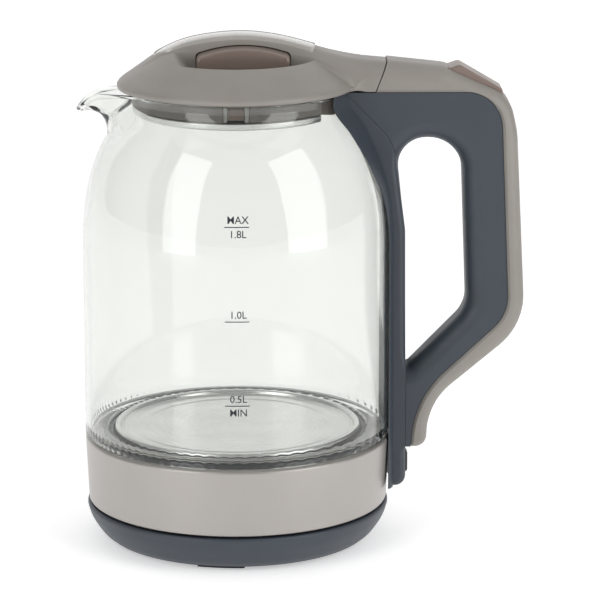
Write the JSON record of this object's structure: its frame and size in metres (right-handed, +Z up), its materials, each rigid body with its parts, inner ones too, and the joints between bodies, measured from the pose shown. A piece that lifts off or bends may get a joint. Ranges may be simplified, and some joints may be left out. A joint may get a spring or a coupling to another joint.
{
  "type": "electric kettle",
  "caption": "Cordless glass electric kettle with a loop handle, a domed lift-out lid with squeeze buttons, a pouring lip and a round power base.",
  "frame": {"origin": "on the surface the feet stand on, at the middle of the whole kettle's box; the jug's axis is 30.1 mm towards -X from it", "axes": "+Z up along the jug's axis, +X from the jug towards the handle, the spout pointing to -X; Y is across the handle"},
  "size_m": [0.2105, 0.1456, 0.2426],
  "materials": {
    "dark_plastic": "fine matte blue-grey moulding",
    "light_plastic": "satin warm grey moulding",
    "bronze_plastic": "satin bronze-brown moulding",
    "gloss_trim": "glossy warm grey insert with a bright edge",
    "pale_plastic": "pale grey moulding",
    "black_plastic": "black heat-resistant moulding",
    "rubber_foot": "soft black rubber",
    "brass_contact": "bright contact brass",
    "steel": "fine brushed stainless steel",
    "aluminium": "pressed aluminium",
    "silicone": "milky silicone",
    "satin_band": "satin metallic warm grey lacquer",
    "glass": "clear borosilicate glass"
  },
  "bodies": {
    "power_base": {"base_cover": "dark_plastic", "base_plate": "dark_plastic", "base_foot_1": "rubber_foot", "base_foot_2": "rubber_foot", "base_foot_3": "rubber_foot", "base_screw_1": "steel", "base_screw_2": "steel", "base_screw_3": "steel", "connector_tower": "black_plastic", "centre_pin": "brass_contact", "inner_contact_ring": "brass_contact", "outer_contact_ring": "brass_contact", "cord_gland": "rubber_foot"},
    "jug": {"glass_jug": "glass", "heating_plate": "steel", "plate_seal": "silicone", "diffuser_plate": "aluminium", "heating_element": "steel", "jug_connector": "black_plastic", "bimetal_disc_1": "brass_contact", "bimetal_disc_2": "brass_contact", "lower_band": "satin_band", "bottom_cover": "dark_plastic", "bottom_screw_1": "steel", "bottom_screw_2": "steel", "bottom_screw_3": "steel", "handle_strap": "dark_plastic", "handle_grip": "dark_plastic", "handle_cover": "light_plastic", "switch_housing": "black_plastic", "steam_bimetal": "brass_contact", "steam_tube": "silicone", "switch_pin": "steel", "wire_loom": "black_plastic", "indicator_lens": "black_plastic", "indicator_board": "aluminium", "steam_inlet": "bronze_plastic"},
    "lid": {"lid_cover": "light_plastic", "lid_trim": "gloss_trim", "lid_plug": "light_plastic", "lid_pan": "steel", "lid_seal": "silicone", "latch_frame_front": "pale_plastic", "latch_frame_back": "pale_plastic", "latch_spring_front": "steel", "latch_spring_back": "steel", "lid_screw_1": "steel", "lid_screw_2": "steel"},
    "front_button": {"lid_button_front": "bronze_plastic", "latch_bolt_front": "bronze_plastic"},
    "back_button": {"lid_button_back": "bronze_plastic", "latch_bolt_back": "bronze_plastic"},
    "switch": {"power_switch": "bronze_plastic"}
  },
  "joints": [
    {"name": "jug_lift", "type": "slide", "parent": "power_base", "child": "jug", "axis": [0, 0, 1], "range_m": [0, 0.12]},
    {"name": "lid_lift", "type": "slide", "parent": "jug", "child": "lid", "axis": [0, 0, 1], "range_m": [0, 0.06]},
    {"name": "front_button_press", "type": "slide", "parent": "lid", "child": "front_button", "axis": [0, 1, 0], "range_m": [0, 0.003], "stiffness_N_per_m": 800, "springref_m": -0.002},
    {"name": "back_button_press", "type": "slide", "parent": "lid", "child": "back_button", "axis": [0, -1, 0], "range_m": [0, 0.003], "stiffness_N_per_m": 800, "springref_m": -0.002},
    {"name": "switch_press", "type": "hinge", "parent": "jug", "child": "switch", "pos_m": [0.081, 0, 0.212], "axis": [0, -1, 0], "range_deg": [0, 5]}
  ]
}
